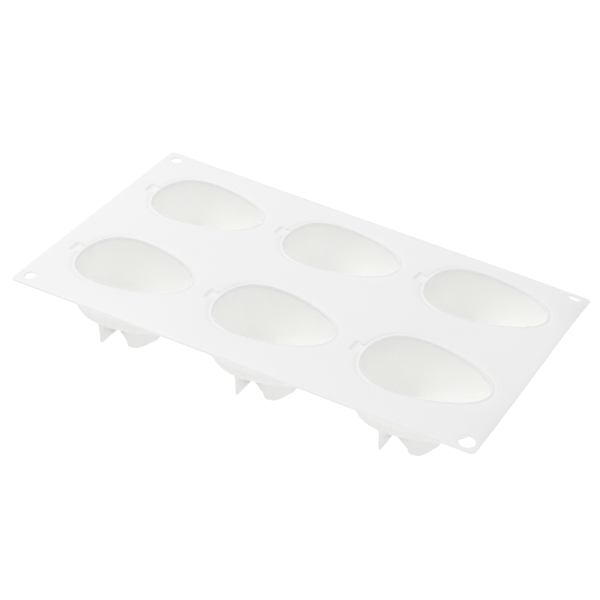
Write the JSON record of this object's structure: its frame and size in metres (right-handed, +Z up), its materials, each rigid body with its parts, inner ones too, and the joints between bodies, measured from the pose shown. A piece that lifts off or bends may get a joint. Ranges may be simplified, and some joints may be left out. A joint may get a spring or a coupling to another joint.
{
  "type": "silicone soap mould",
  "caption": "Soft white silicone soap mould: a thin flat sheet with rows of egg-shaped cups, each with a shallow gutter and ridge round its mouth, a small spout notch and a rib foot.",
  "frame": {"origin": "on the table plane that the feet stand on, under the middle of the flat deck", "axes": "+X along the deck's long side, from the cups' broad ends to their narrow ends; +Y to the back long side; +Z up out of the cups' mouths"},
  "size_m": [0.3, 0.175, 0.048],
  "materials": {
    "silicone_deck": "satin",
    "silicone_rim": "satin",
    "silicone_bowl": "satin",
    "silicone_foot": "satin"
  },
  "bodies": {
    "middle_column": {"deck_middle": "silicone_deck", "rim_front_middle": "silicone_rim", "cup_front_middle": "silicone_bowl", "foot_front_middle": "silicone_foot", "rim_back_middle": "silicone_rim", "cup_back_middle": "silicone_bowl", "foot_back_middle": "silicone_foot"},
    "left_column": {"deck_left": "silicone_deck", "rim_front_left": "silicone_rim", "cup_front_left": "silicone_bowl", "foot_front_left": "silicone_foot", "rim_back_left": "silicone_rim", "cup_back_left": "silicone_bowl", "foot_back_left": "silicone_foot"},
    "right_column": {"deck_right": "silicone_deck", "rim_front_right": "silicone_rim", "cup_front_right": "silicone_bowl", "foot_front_right": "silicone_foot", "rim_back_right": "silicone_rim", "cup_back_right": "silicone_bowl", "foot_back_right": "silicone_foot"}
  },
  "joints": [
    {"name": "left_web_fold", "type": "hinge", "parent": "middle_column", "child": "left_column", "pos_m": [-0.04655, 0, 0.0474], "axis": [0, 1, 0], "range_deg": [-40, 50], "stiffness_Nm_per_rad": 0.01},
    {"name": "right_web_fold", "type": "hinge", "parent": "middle_column", "child": "right_column", "pos_m": [0.04955, 0, 0.0474], "axis": [0, -1, 0], "range_deg": [-40, 50], "stiffness_Nm_per_rad": 0.01}
  ]
}
